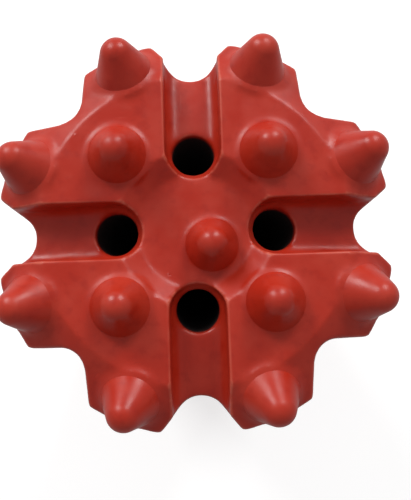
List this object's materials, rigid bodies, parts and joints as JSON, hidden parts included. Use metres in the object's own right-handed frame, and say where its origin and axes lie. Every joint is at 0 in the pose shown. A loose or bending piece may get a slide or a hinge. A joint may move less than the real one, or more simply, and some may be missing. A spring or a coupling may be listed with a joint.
{
  "type": "button drill bit",
  "caption": "Fluted rock drill bit with a dished face, pressed-in conical buttons, flushing holes and a screwed rod socket; all painted red.",
  "frame": {"origin": "centre of the skirt's end face, on which the bit stands", "axes": "+Z along the bit's axis towards the cutting face; the four face grooves run along X and Y; the centre button is off the axis towards +X and -Y"},
  "size_m": [0.0852, 0.0852, 0.1286],
  "materials": {
    "body_paint": "gloss",
    "button_paint": "gloss"
  },
  "bodies": {
    "root": {"bit_body": "body_paint", "gauge_button_1": "button_paint", "gauge_button_2": "button_paint", "gauge_button_3": "button_paint", "gauge_button_4": "button_paint", "gauge_button_5": "button_paint", "gauge_button_6": "button_paint", "gauge_button_7": "button_paint", "gauge_button_8": "button_paint", "front_button_1": "button_paint", "front_button_2": "button_paint", "front_button_3": "button_paint", "front_button_4": "button_paint", "centre_button": "button_paint"}
  },
  "joints": []
}
